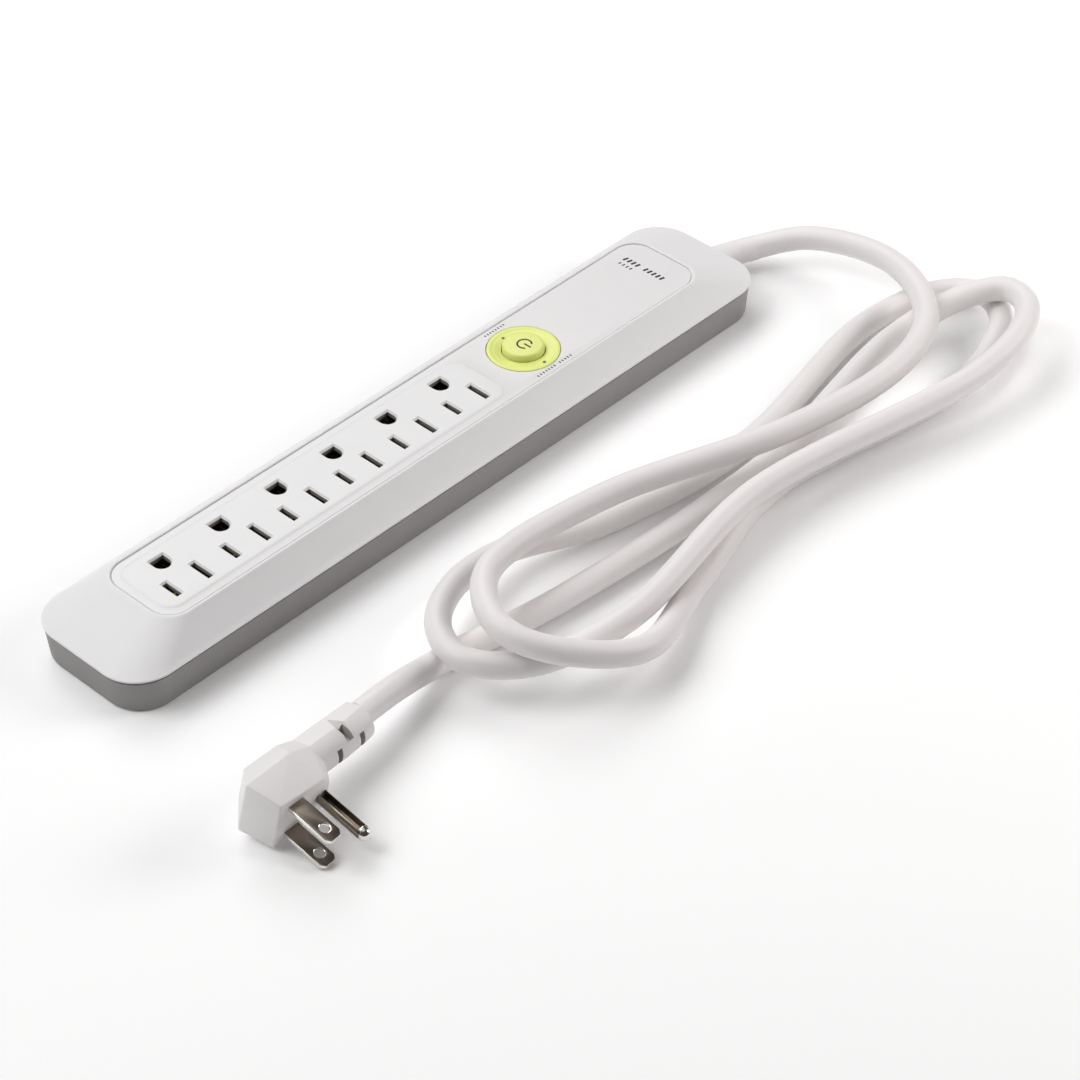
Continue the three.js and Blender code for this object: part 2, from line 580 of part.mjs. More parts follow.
// Corners of the head on one side of its middle plane.
const HEAD_CORNERS = [
  [-6.8, PLUG_FACE, 10.3], [12.3, PLUG_FACE, 8.5], [15, PLUG_FACE, 4.5],
  [-9.6, -11.8, 11.4], [9, -12.1, 11.5], // the ridge
  [-3.2, PLUG_BACK, 7], [10.9, PLUG_BACK, 7], [18.5, PLUG_BACK - 0.1, 3], // the back
  [18.5, -12.1, 6.7], [19.2, -5.4, 3.8], // the shoulder towards the neck
];

// Cross-sections of the neck: round in front of the ridge, chamfered behind it.
const NECK_SECTIONS = [
  { x: 17, ridgeY: -12.1, frontDepth: 6.9, halfZ: 6.7, backZ: 3.1 },
  { x: 30, ridgeY: -12.1, frontDepth: 6.9, halfZ: 6.6, backZ: 3.1 },
  { x: 38, ridgeY: -12.6, frontDepth: 7, halfZ: 6.4, backZ: 3 },
  { x: NECK_END, ridgeY: -13.1, frontDepth: 7, halfZ: 6.2, backZ: 2.8 },
];
const NOTCH = { from: 29.6, to: 32.6, coreHalfZ: 4.6 };
const NECK_WINDOWS_X = [[25.3, 27.1], [35.3, 37.1]];

function neckRing({ x, ridgeY, frontDepth, halfZ, backZ }) {
  const steps = 10;
  const ring = [[x, PLUG_BACK, backZ], [x, PLUG_BACK, -backZ]];
  for (let step = 0; step <= steps; step++) {
    const angle = (step / steps - 0.5) * Math.PI;
    ring.push([x, ridgeY + frontDepth * Math.cos(angle), halfZ * Math.sin(angle)]);
  }
  return ring;
}

function plugBody() {
  const corners = bothSides(HEAD_CORNERS).map((p) => new THREE.Vector3(...p));
  const head = solid(new ConvexGeometry(corners));
  const neck = skin(NECK_SECTIONS.map(neckRing));
  const notches = [1, -1].map((side) => {
    const deep = side * NOTCH.coreHalfZ;
    const high = side * 9;
    return box(NOTCH.from, NOTCH.to, -20, -7.5, Math.min(deep, high), Math.max(deep, high));
  });
  const windows = NECK_WINDOWS_X.map(([from, to]) => box(from, to, -7.2, 0, -2.6, 2.6));
  return cut(join(head, neck), ...notches, ...windows);
}
add('plug_body', placed(plugBody()), CORD_GREY);

const ROOT = PLUG_FACE + GAP; // where the metal starts

/** A flat blade with its hole and cut corners, its middle plane at z. */
function blade(z) {
  const corner = 1.4;
  const half = BLADE.width / 2;
  const shape = [[-half, ROOT], [half, ROOT], [half, BLADE.length - corner],
    [half - corner, BLADE.length], [corner - half, BLADE.length], [-half, BLADE.length - corner]];
  const plate = prism(shape, z - BLADE.thickness / 2, z + BLADE.thickness / 2);
  return cut(plate, rod(0, BLADE.holeAt, BLADE.holeRadius, z - 2, z + 2, 16));
}
add('line_blade', placed(blade(BLADE.spacing / 2)), NICKEL);
add('neutral_blade', placed(blade(-BLADE.spacing / 2)), NICKEL);

/** A round pin folded from sheet, so it has a channel along it and a round nose. */
function earthPin() {
  const { radius, length, along, channelHalf } = EARTH_PIN;
  const pin = turned(0, 0, [
    [radius, ROOT], [radius, length - 2.2], [radius * 0.86, length - 1.1],
    [radius * 0.5, length - 0.25], [radius * 0.2, length],
  ], 20);
  const channel = box(-channelHalf, channelHalf, -0.9, radius + 1, ROOT - 1, length - 3.4);
  return cut(pin, channel).rotate([-90, 0, 0]).translate([along, 0, 0]);
}
add('earth_pin', placed(earthPin()), NICKEL);

export default group;
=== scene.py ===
"""The power strip's looks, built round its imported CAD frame.

Shapes are worked out in millimetres, and made() turns them into metres. The cord route is in metres.
"""
import bpy
import bmesh
import math
import numpy as np
from mathutils import Matrix, Vector


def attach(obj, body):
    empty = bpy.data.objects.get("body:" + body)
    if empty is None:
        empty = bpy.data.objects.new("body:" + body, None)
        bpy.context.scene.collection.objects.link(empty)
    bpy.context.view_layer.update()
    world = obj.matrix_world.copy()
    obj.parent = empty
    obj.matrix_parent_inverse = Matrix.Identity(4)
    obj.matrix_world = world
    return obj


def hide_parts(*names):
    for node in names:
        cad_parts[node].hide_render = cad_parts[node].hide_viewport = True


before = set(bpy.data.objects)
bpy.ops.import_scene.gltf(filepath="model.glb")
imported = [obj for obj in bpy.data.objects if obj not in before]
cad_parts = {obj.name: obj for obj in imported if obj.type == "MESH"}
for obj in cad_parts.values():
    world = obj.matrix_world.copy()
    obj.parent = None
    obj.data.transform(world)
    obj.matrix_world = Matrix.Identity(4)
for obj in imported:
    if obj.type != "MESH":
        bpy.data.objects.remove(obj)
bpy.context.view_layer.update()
MM = 0.001

# ---------------------------------------------------------------- camera
camera_data = bpy.data.cameras.new("camera")
camera_data.lens = 106.11
camera_data.sensor_width = 36
camera_data.clip_start = 0.05
camera = bpy.data.objects.new("camera", camera_data)
bpy.context.scene.collection.objects.link(camera)
bpy.context.scene.camera = camera
camera_place = Vector((-0.58252, -0.61797, 0.69448))
look = Vector((0.54664, 0.52624, -0.65136)).normalized()
up = Vector((0.47649, 0.44417, 0.75873)).normalized()
right = look.cross(up).normalized()
camera.matrix_world = Matrix.Translation(camera_place) @ Matrix((
    (right.x, up.x, -look.x, 0), (right.y, up.y, -look.y, 0), (right.z, up.z, -look.z, 0), (0, 0, 0, 1)))

# ---------------------------------------------------------------- cord route, in metres
CORD_RADIUS = 0.0045
CORD_ROUTE = [
    (.151, 0, .0075), (.164, -.0039, .007), (.181, -.022, .013), (.1835, -.0585, .019),
    (.164, -.09, .0215), (.1345, -.101, .0215), (.0835, -.0955, .0205), (.0135, -.073, .02),
    (-.044, -.076, .0255), (-.06, -.0965, .026), (-.0565, -.111, .0235), (-.0285, -.128, .014),
    (.0155, -.1135, .0055), (.0695, -.0998, .005), (.152, -.112, .006), (.179, -.109, .008),
    (.198, -.098, .008), (.204, -.0855, .007), (.1955, -.072, .0055), (.163, -.0645, .005),
    (.08, -.078, .005), (.018, -.0705, .005), (-.0215, -.06, .01), (-.049, -.064, .014),
    (-.0655, -.075, .0148), (-.0705, -.091, .015), (-.0575, -.107, .0145), (-.0225, -.116, .0153),
    (.055, -.1045, .015), (.1535, -.12, .016), (.181, -.1185, .019), (.1965, -.1095, .019),
    (.1995, -.0985, .018), (.189, -.0875, .0145), (.158, -.08, .009), (.078, -.0903, .005),
    (-.0185, -.0865, .005), (-.0685, -.079, .0056), (-.0935, -.0825, .0122), (-.1095, -.084, .0135),
]


def spline(points, per_span=14):
    """A centripetal Catmull-Rom curve through the points."""
    p = np.array(points, float)
    p = np.vstack([2 * p[0] - p[1], p, 2 * p[-1] - p[-2]])
    out = []
    for a, b, c, d in zip(p, p[1:], p[2:], p[3:]):
        t = np.cumsum([0, *(np.linalg.norm(y - x) ** 0.5 for x, y in ((a, b), (b, c), (c, d)))])
        s = np.linspace(t[1], t[2], per_span, endpoint=False)[:, None]
        ab = ((t[1] - s) * a + (s - t[0]) * b) / (t[1] - t[0])
        bc = ((t[2] - s) * b + (s - t[1]) * c) / (t[2] - t[1])
        cd = ((t[3] - s) * c + (s - t[2]) * d) / (t[3] - t[2])
        abc = ((t[2] - s) * ab + (s - t[0]) * bc) / (t[2] - t[0])
        bcd = ((t[3] - s) * bc + (s - t[1]) * cd) / (t[3] - t[1])
        out.append(((t[2] - s) * abc + (s - t[1]) * bcd) / (t[2] - t[1]))
    return np.vstack([*out, p[-2][None]])


def resampled(line, step):
    """Points along a line at an even distance, and the line's length."""
    far = np.concatenate([[0], np.cumsum(np.linalg.norm(np.diff(line, axis=0), axis=1))])
    at = np.linspace(0, far[-1], int(far[-1] / step) + 1)
    return np.stack([np.interp(at, far, line[:, k]) for k in range(3)], 1), far[-1]


cord_line, cord_length = resampled(spline(CORD_ROUTE), 0.003)


# ---------------------------------------------------------------- materials
MOTTLE_SCALE = 90  # patches of slightly different colour, about 11 mm across


def finish_of(name, color, roughness, grain=0.4, relief=0.0, mottle=0.02, metallic=0.0, spread=0.05):
    """A procedural finish: grain is the texture's size in millimetres, relief its depth in millimetres."""
    m = bpy.data.materials.new(name)
    m.use_nodes = True
    nodes, links = m.node_tree.nodes, m.node_tree.links
    shader = nodes["Principled BSDF"]
    shader.inputs["Metallic"].default_value = metallic
    place = nodes.new("ShaderNodeTexCoord")
    fine = nodes.new("ShaderNodeTexNoise")
    fine.inputs["Scale"].default_value = 1000 / grain
    fine.inputs["Detail"].default_value = 3
    broad = nodes.new("ShaderNodeTexNoise")
    broad.inputs["Scale"].default_value = MOTTLE_SCALE
    broad.inputs["Detail"].default_value = 4
    for n in (fine, broad):
        links.new(place.outputs["Object"], n.inputs["Vector"])
    tint = nodes.new("ShaderNodeMix")
    tint.data_type = "RGBA"
    tint.inputs["A"].default_value = (*[c * (1 - mottle) for c in color], 1)
    tint.inputs["B"].default_value = (*[min(1, c * (1 + mottle)) for c in color], 1)
    links.new(broad.outputs["Fac"], tint.inputs["Factor"])
    links.new(tint.outputs["Result"], shader.inputs["Base Color"])
    rough = nodes.new("ShaderNodeMapRange")
    rough.inputs["To Min"].default_value = max(0, roughness - spread)
    rough.inputs["To Max"].default_value = min(1, roughness + spread)
    links.new(fine.outputs["Fac"], rough.inputs["Value"])
    links.new(rough.outputs["Result"], shader.inputs["Roughness"])
    if relief:
        bump = nodes.new("ShaderNodeBump")
        bump.inputs["Distance"].default_value = relief * MM
        bump.inputs["Strength"].default_value = 1
        links.new(fine.outputs["Fac"], bump.inputs["Height"])
        links.new(bump.outputs["Normal"], shader.inputs["Normal"])
    return m


COVER = finish_of("cover_white", (.79, .78, .785), .5, grain=.55, relief=.035)
PANEL = finish_of("panel_white", (.775, .77, .77), .38, grain=.5, relief=.006)
GREY = finish_of("base_grey", (.265, .256, .253), .55, grain=.5, relief=.04)
LIME = finish_of("lime", (.78, .84, .26), .35, grain=.5, relief=.005)
CORD = finish_of("cord_jacket", (.83, .80, .795), .45, grain=1.2, relief=.012)
PLUG = finish_of("plug_jacket", (.80, .78, .775), .45, grain=.7, relief=.012)
PRINT = finish_of("print_black", (.02, .02, .02), .5, grain=.3)
BRASS = finish_of("contact_brass", (.72, .46, .16), .3, grain=.6, metallic=1, relief=.004, mottle=.1)
# Lit and shaded copies of the blade metal: the nickel is darkened as painted shade in its reflections, and
# the bright copy is a painted highlight for edges and tips.
NICKEL = finish_of("blade_nickel", (.28, .24, .20), .3, grain=.5, metallic=1, relief=.003, mottle=.25)
BLADE_HIGHLIGHT = finish_of("blade_edges_painted_highlight", (.80, .77, .73), .2, grain=.5, metallic=1, relief=.002, mottle=.05)
STEEL = finish_of("steel", (.6, .61, .62), .3, grain=.4, metallic=1, relief=.004, mottle=.06)
BLACK = finish_of("switch_black", (.03, .03, .033), .45, grain=.5, relief=.01)
NATURAL = finish_of("natural_plastic", (.69, .66, .56), .5, grain=.6, relief=.01)
BOARD = finish_of("circuit_board", (.03, .17, .08), .35, grain=1.5, relief=.01, mottle=.15)
BLUE = finish_of("varistor_blue", (.04, .10, .36), .3, grain=1.0, relief=.03)
CERAMIC = finish_of("fuse_white", (.8, .8, .77), .3, grain=.8, relief=.01)
# Painted shade for the walls down inside the outlet holes.
HOLE_WALL_SHADE = finish_of("hole_walls_painted_shade", (.24, .22, .20), .6, grain=.5)
# Painted shade for the side walls of the plug's windows and slots.
PLUG_RECESS_SHADE = finish_of("plug_recess_painted_shade", (.46, .44, .42), .55, grain=.7)
# The lamp lenses are near black as painted shade down in their holes.
LENS_SHADE = finish_of("lamp_lens", (.025, .03, .025), .15, grain=.5)
WIRES = {
    "black": finish_of("wire_black", (.02, .02, .02), .45, grain=.8, relief=.008),
    "white": finish_of("wire_white", (.8, .8, .78), .45, grain=.8, relief=.008),
    "green": finish_of("wire_green", (.03, .25, .08), .45, grain=.8, relief=.008),
}


# ---------------------------------------------------------------- meshes
def made(name, points, faces, material, sharp=35):
    """An object from points in millimetres. Edges over sharp degrees stay crisp."""
    mesh = bpy.data.meshes.new(name)
    mesh.from_pydata([tuple(float(c) * MM for c in p) for p in points], [], faces)
    return finished(name, mesh, material, sharp)


def finished(name, mesh, material, sharp=35, outward=True):
    """An object of the mesh, smooth but for its sharp edges. outward turns the faces outwards."""
    if outward:
        bm = bmesh.new()
        bm.from_mesh(mesh)
        bmesh.ops.remove_doubles(bm, verts=bm.verts, dist=1e-7)
        bmesh.ops.recalc_face_normals(bm, faces=bm.faces)
        bm.to_mesh(mesh)
        bm.free()
    mesh.materials.clear()
    mesh.materials.append(material)
    mesh.shade_smooth()
    mesh.set_sharp_from_angle(angle=math.radians(sharp))
    o = bpy.data.objects.new(name, mesh)
    bpy.context.scene.collection.objects.link(o)
    return o


def skin(rings, closed=False):
    """Points and faces over rings with the same number of points. closed joins the last ring to the first."""
    count = len(rings[0])
    faces = []
    for r in range(len(rings) if closed else len(rings) - 1):
        s = (r + 1) % len(rings)
        for i in range(count):
            j = (i + 1) % count
            faces.append((r * count + i, r * count + j, s * count + j, s * count + i))
    if not closed:
        faces.append(tuple(range(count))[::-1])
        faces.append(tuple((len(rings) - 1) * count + i for i in range(count)))
    return [p for ring in rings for p in ring], faces


def rounded(half_x, half_y, radius, z, steps=20, x=0.0):
    """A rounded rectangle round (x, 0) as a ring of points."""
    ring = []
    for corner in range(4):
        side_x = 1 if corner in (0, 3) else -1
        side_y = 1 if corner < 2 else -1
        for step in range(steps + 1):
            a = (corner + step / steps) * math.pi / 2
            ring.append((x + side_x * (half_x - radius) + radius * math.cos(a),
                         side_y * (half_y - radius) + radius * math.sin(a), z))
    return ring


def round_ring(x, y, radius, z, sides=64):
    """A level circle of points."""
    angles = [2 * math.pi * i / sides for i in range(sides)]
    return [(x + radius * math.cos(a), y + radius * math.sin(a), z) for a in angles]


def turned(name, x, y, profile, material, sides=64, closed=False, sharp=35):
    """A body turned round an upright axis. profile is [(radius, z), ...]."""
    points, faces = skin([round_ring(x, y, r, z, sides) for r, z in profile], closed)
    return made(name, points, faces, material, sharp)


def prism(name, outline, low, high, material):
    """An outline [(x, y), ...] made solid between two heights."""
    points, faces = skin([[(x, y, z) for x, y in outline] for z in (low, high)])
    return made(name, points, faces, material)


def block(name, low, high, material):
    """A box between two opposite corners."""
    outline = [(low[0], low[1]), (high[0], low[1]), (high[0], high[1]), (low[0], high[1])]
    return prism(name, outline, low[2], high[2], material)


def one(name, parts, material=None, sharp=35):
    """Several objects joined into one, each keeping its own shape."""
    points, faces = [], []
    for part in parts:
        faces += [tuple(v + len(points) for v in p.vertices) for p in part.data.polygons]
        points += [tuple(part.matrix_world @ v.co / MM) for v in part.data.vertices]
        material = material or part.data.materials[0]
    for part in parts:
        bpy.data.objects.remove(part)
    mesh = bpy.data.meshes.new(name)
    mesh.from_pydata([tuple(c * MM for c in p) for p in points], [], faces)
    return finished(name, mesh, material, sharp, outward=False)


def applied(o, sharp=35):
    """The object with its modifiers made real."""
    bpy.context.view_layer.update()
    mesh = bpy.data.meshes.new_from_object(o.evaluated_get(bpy.context.evaluated_depsgraph_get()))
    name, material = o.name, o.data.materials[0]
    bpy.data.objects.remove(o)
    return finished(name, mesh, material, sharp)


def carved(o, cutter, how="DIFFERENCE", sharp=35):
    """o with cutter taken out of it, or added to it."""
    m = o.modifiers.new("carve", "BOOLEAN")
    m.operation = how
    m.solver = "EXACT"
    m.object = cutter
    result = applied(o, sharp)
    bpy.data.objects.remove(cutter)
    return result


def softened(o, width, segments, limit):
    """o with every edge over limit degrees rounded."""
    m = o.modifiers.new("soften", "BEVEL")
    m.width = width * MM
    m.segments = segments
    m.limit_method = "ANGLE"
    m.angle_limit = math.radians(limit)
    return applied(o)


def stands_for(o, body, slot, *nodes):
    """The object riding a body, with the CAD nodes that it replaces hidden. slot is not used."""
    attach(o, body)
    if nodes:
        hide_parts(*nodes)
    return o


# ---------------------------------------------------------------- cord
cord_curve = bpy.data.curves.new("power_cord_curve", "CURVE")
cord_curve.dimensions = "3D"
cord_curve.bevel_depth = CORD_RADIUS
cord_curve.bevel_resolution = 7
cord_curve.use_fill_caps = True
cord_spline = cord_curve.splines.new("POLY")
cord_spline.points.add(len(cord_line) - 1)
for point, place in zip(cord_spline.points, cord_line):
    point.co = (*place, 1)
cord_spline.use_smooth = True
cord_curve.materials.append(CORD)
cord = bpy.data.objects.new("cord", cord_curve)
bpy.context.scene.collection.objects.link(cord)
stands_for(cord, "housing", "cord_jacket", "power_cord")

# ---------------------------------------------------------------- cover
SEAM = (151.45, 27.3, 14.8)  # half length, half width and corner radius


def between(a, b, steps):
    """Levels from a to b, without a itself."""
    return [tuple(p + (q - p) * k / steps for p, q in zip(a, b)) for k in range(1, steps + 1)]


# Every level below is (half length, half width, corner radius, height).
lip_top = (151.0, 26.95, 14.6, 14.1)
shoulder_low = (129.6, 18.4, 9.9, 21.93)
cover_levels = [
    (150.7, 26.55, 14.1, 13.2), (151.25, 27.1, 14.65, 13.24), (*SEAM, 13.42),
    (*SEAM, 13.78), (151.32, 27.2, 14.7, 13.98), lip_top,
    *between(lip_top, shoulder_low, 6),
    (129.1, 18.15, 9.8, 22.18), (128.6, 17.95, 9.6, 22.35), (128.1, 17.7, 9.4, 22.46),
    (127.7, 17.5, 9.15, 22.5), (127.35, 17.1, 8.75, 22.47), (127.15, 16.9, 8.55, 22.35),
    (127.05, 16.82, 8.47, 22.1), (127.05, 16.82, 8.47, 21.75), (126.8, 16.56, 8.22, 21.75),
    (126.8, 16.56, 8.22, 20.0), (125.6, 15.3, 6.9, 20.0),
    (125.6, 15.3, 6.9, 18.4), (132.9, 19.2, 8, 18.4), (147, 22.9, 10.6, 14.5), (147, 22.9, 10.6, 11.2),
    (148.5, 24.3, 12, 11.2), (148.5, 24.3, 12, 13.2),
]
cover = made("cover", *skin([rounded(*level) for level in cover_levels], closed=True), COVER, 30)
stands_for(cover, "housing", "cover_white", "top_cover")

# ---------------------------------------------------------------- face panel
FIRST_SLOT_X, PITCH = -115.75, 25.42
SLOT_SPACING, SLOT_Y, EARTH_Y = 12.7, -5.4, 6.5
SLOT_HALF_X, LINE_HALF_Y, NEUTRAL_HALF_Y = 1.0, 3.75, 4.55
EARTH_RADIUS, EARTH_FLAT = 2.9, 3.1
OUTLET_X = [FIRST_SLOT_X + PITCH * i for i in range(6)]
SWITCH_X = 52.05
PANEL_TOP, ISLAND_TOP = 22.15, 22.5


def slot_ring(x, y, half_y, grow, z):
    """A blade slot's outline, grown on every side."""
    across, along = SLOT_HALF_X + grow, half_y + grow
    return [(x - across, y - along, z), (x + across, y - along, z),
            (x + across, y + along, z), (x - across, y + along, z)]


def earth_ring(x, y, grow, z, steps=24):
    """An earth hole's outline: half a circle with a flat side."""
    r, f = EARTH_RADIUS + grow, EARTH_FLAT + grow
    ring = [(x + r, y + f, z), (x - r, y + f, z)]
    for step in range(steps + 1):
        a = math.pi * (1 + step / steps)
        ring.append((x + r * math.cos(a), y + r * math.sin(a), z))
    return ring


LEAD_IN_LOW = 21.8  # height at which the holes begin to widen
HOLE_LEVELS = [(0, 14), (0, LEAD_IN_LOW), (.5, 22.42), (.58, 22.5), (.7, 22.6)]  # (growth, height)
cutters = []
for slot_x in OUTLET_X:
    for x, half_y in ((slot_x, LINE_HALF_Y), (slot_x + SLOT_SPACING, NEUTRAL_HALF_Y)):
        rings = [slot_ring(x, SLOT_Y, half_y, grow, z) for grow, z in HOLE_LEVELS]
        cutters.append(made("cutter", *skin(rings), PANEL))
    rings = [earth_ring(slot_x + SLOT_SPACING / 2, EARTH_Y, grow, z) for grow, z in HOLE_LEVELS]
    cutters.append(made("cutter", *skin(rings), PANEL))
SWITCH_WELL = [(12.2, 17), (12.2, 20.9), (13.2, 20.9), (13.2, 21.95), (13.45, 22.3), (13.45, 24)]
cutters.append(turned("cutter", SWITCH_X, 0, SWITCH_WELL, PANEL, 128))

panel_levels = [
    (126.72, 16.48, 8.1, 20.3), (126.72, 16.48, 8.1, 21.8), (126.66, 16.42, 8.05, 22.0),
    (126.52, 16.28, 7.9, 22.11), (126.3, 16.06, 7.7, PANEL_TOP),
]
plate = made("panel", *skin([rounded(*level) for level in panel_levels]), PANEL)
island_from, island_to, island_half_width, island_radius = -124.3, 32.2, 14.0, 6.2
middle, half_length = (island_from + island_to) / 2, (island_to - island_from) / 2
# Each level is (inset, height).
island_levels = [(0, 21.3), (0, 22.12), (.25, 22.2), (.7, 22.36), (1.1, 22.46), (1.5, ISLAND_TOP)]
island = made("island", *skin([
    rounded(half_length - inset, island_half_width - inset, island_radius - inset, z, x=middle)
    for inset, z in island_levels]), PANEL)
panel = carved(plate, island, "UNION")
panel = carved(panel, one("cutters", cutters), sharp=28)
rim_levels = [
    (125.2, 14.9, 6.5, 20.35), (125.2, 14.9, 6.5, 17.6), (124, 13.7, 5.3, 17.6), (124, 13.7, 5.3, 20.35),
]
rim = made("rim", *skin([rounded(*level) for level in rim_levels], closed=True), PANEL)
PIN_X, PIN_Y = 14.2, 9
pins = [turned("pin", SWITCH_X + x, y, [(1.2, 15.1), (1.2, 20.4)], PANEL, 16)
        for x in (PIN_X, -PIN_X) for y in (PIN_Y, -PIN_Y)]
panel = one("panel", [panel, rim, *pins], PANEL, sharp=28)

# The outlet holes' walls get a darker colour as painted shade.
OUTLETS_END, OUTLETS_HALF_WIDTH = 30, 12.5
panel.data.materials.append(HOLE_WALL_SHADE)
for face in panel.data.polygons:
    x, y, z = face.center / MM
    in_a_hole = z < LEAD_IN_LOW and x < OUTLETS_END and abs(y) < OUTLETS_HALF_WIDTH
    face.material_index = int(in_a_hole and abs(face.normal.z) < .3)
stands_for(panel, "housing", "panel_white", "face_panel")

# ---------------------------------------------------------------- switch
bezel_profile = [
    (7.85, 17.5), (7.85, 21.8), (7.95, 21.98), (8.15, 22.05), (10.9, 22.05), (11.15, 22.08), (11.4, 22.24),
    (11.65, 22.3), (12.6, 22.3), (12.85, 22.22), (12.95, 22.05), (12.95, 21.2), (11.9, 21.2), (11.9, 17.5),
]
bezel = turned("bezel", SWITCH_X, 0, bezel_profile, LIME, 128, closed=True)
INDICATORS = [(51.8, 9.5), (51.7, -10.5)]
INDICATOR_HOLE = [(1.35, 17), (1.35, 19.7), (.62, 19.7), (.62, 21.9), (.8, 22.3), (.8, 23)]
holes = [turned("hole", x, y, INDICATOR_HOLE, LIME, 32) for x, y in INDICATORS]
bezel = carved(bezel, one("holes", holes))
stands_for(bezel, "housing", "lime", "switch_bezel")

button = turned("button", SWITCH_X, 0, [
    (8.2, 15.5), (8.2, 17.2), (7.5, 17.2), (7.5, 22.5), (7.44, 23.2), (7.32, 23.75), (7.15, 24.05),
    (6.9, 24.26), (6.5, 24.37), (6.1, 24.4), (3, 24.4)], LIME, 128, sharp=40)
stands_for(button, "button", "lime", "switch_button")


def printed(name, outlines, z, body, thickness=.04):
    """Flat black print: closed outlines [(x, y), ...] standing just proud of the surface."""
    parts = [prism("mark", outline, z - .02, z + thickness, PRINT) for outline in outlines]
    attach(one(name, parts, PRINT), body)


def arc_outline(x, y, inner, outer, start, stop, steps=40):
    """A ring's stretch between two angles in degrees."""
    angles = [math.radians(start + (stop - start) * k / steps) for k in range(steps + 1)]
    return ([(x + outer * math.cos(a), y + outer * math.sin(a)) for a in angles]
            + [(x + inner * math.cos(a), y + inner * math.sin(a)) for a in reversed(angles)])


def bar_outline(a, b, width):
    """A straight bar from a to b."""
    a, b = np.array(a, float), np.array(b, float)
    n = np.array([a[1] - b[1], b[0] - a[0]])
    n = n / np.linalg.norm(n) * width / 2
    return [tuple(a + n), tuple(a - n), tuple(b - n), tuple(b + n)]


BUTTON_TOP = 24.4
mark_x, mark_y, half_gap = 52.2, -.4, 38
printed("power_symbol", [
    arc_outline(mark_x, mark_y, 2.2, 2.85, half_gap - 90, 270 - half_gap),
    bar_outline((mark_x, mark_y + .1), (mark_x, mark_y - 3.0), .65)], BUTTON_TOP, "button")


def tick_row(name, start, direction, groups, height, width, gap, lean=0.0):
    """A row of plain upright bars in groups, as a stand-in for a printed line of words."""
    along = np.array(direction, float) / np.linalg.norm(direction)
    rise = np.array([-along[1], along[0]])
    outlines, at = [], 0.0
    for count in groups:
        for _ in range(count):
            foot = np.array(start) + along * at
            outlines.append(bar_outline(foot, foot + rise * height + along * lean, width))
            at += gap
        at += gap
    printed(name, outlines, PANEL_TOP, "housing", .02)


tick_row("caption_marks_1", (57.2, 14.3), (-1, 0), (8,), -.9, .5, 1.3)
tick_row("caption_marks_2", (60.5, -14.1), (-1, 0), (5, 7), 1.0, .5, 1.35)
tick_row("maker_marks_1", (114.8, 10.2), (0, -1), (4, 5), 2.1, .95, 1.95, .6)
tick_row("maker_marks_2", (112.0, 9.9), (0, -1), (4,), 1.2, .6, 1.75, .3)

# ---------------------------------------------------------------- base
base_levels = [
    (149.2, 25.1, 12.8, 0), (149.6, 25.5, 13.1, .12), (149.85, 25.72, 13.25, .4), (149.98, 25.85, 13.3, .9),
    (150.95, 26.8, 14.25, 11.6), (151.15, 27.0, 14.45, 12.45), (151.05, 26.9, 14.35, 12.6),
    (150.3, 26.15, 13.6, 12.65), (150.3, 26.15, 13.6, 12.9), (149.1, 24.9, 12.4, 12.9),
    (147.6, 23.4, 11, 1.4),
]
wall = made("base", *skin([rounded(*level) for level in base_levels]), GREY)
KEYHOLES_X = (-84, 84)
KEY_HEAD, KEY_SLOT, KEY_SLIDE = 4.1, 2, 9  # radius for the head, radius for the shank, distance between them


def arc(x, radius, start, stop, steps):
    """Points round (x, 0) between two angles."""
    return [(x + radius * math.cos(a), radius * math.sin(a)) for a in np.linspace(start, stop, steps)]


def keyhole(x):
    """A round hole for a screw's head with a slot for its shank."""
    mouth = math.asin(KEY_SLOT / KEY_HEAD)
    slot_end = arc(x + KEY_SLIDE, KEY_SLOT, -math.pi / 2, math.pi / 2, 17)
    head = arc(x, KEY_HEAD, mouth, 2 * math.pi - mouth, 41)
    return prism("key", slot_end + head, -1, 3, GREY)


cutters = [keyhole(x) for x in KEYHOLES_X]
SCREWS = [(-141, 17), (-141, -17), (0, 19.9), (0, -19.9), (141, 17), (141, -17)]
WELL = [(3.35, -1), (3.35, 0), (3.2, .25), (3.2, 2.6), (1.75, 2.6), (1.75, 10)]
for x, y in SCREWS:
    cutters.append(turned("well", x, y, WELL, GREY, 32))
WALL_X, CORD_Z, WAY_RADIUS = 149.5, 7.5, 5.2
cord_way = turned("way", 0, 0, [(WAY_RADIUS, -4), (WAY_RADIUS, 4)], GREY, 48)
to_lie_along_x = Matrix.Rotation(math.pi / 2, 4, "Y")
cord_way.data.transform(Matrix.Translation(Vector((WALL_X, 0, CORD_Z)) * MM) @ to_lie_along_x)
BOSS_RADIUS = 3.9
bosses = [turned("boss", x, y, [(BOSS_RADIUS, .8), (BOSS_RADIUS, 9)], GREY, 32) for x, y in SCREWS]
base = carved(wall, one("bosses", bosses), "UNION")
base = carved(base, one("cutters", cutters + [cord_way]))
stands_for(base, "housing", "base_grey", "base_tray")

# ---------------------------------------------------------------- strain relief
relief_line = spline([tuple(np.array(p) / MM) for p in CORD_ROUTE[:5]], 40)
far = np.concatenate([[0], np.cumsum(np.linalg.norm(np.diff(relief_line, axis=0), axis=1))])


def ring_on(line, distances, at, radius, sides=32):
    """A ring of points round a line."""
    here = np.array([np.interp(at, distances, line[:, k]) for k in range(3)])
    there = np.array([np.interp(at + .5, distances, line[:, k]) for k in range(3)])
    along = Vector(there - here).normalized()
    side = Vector((0, 0, 1)).cross(along).normalized()
    top = along.cross(side)
    return [tuple(Vector(here) + radius * (side * math.cos(a) + top * math.sin(a)))
            for a in np.linspace(0, 2 * math.pi, sides, endpoint=False)]


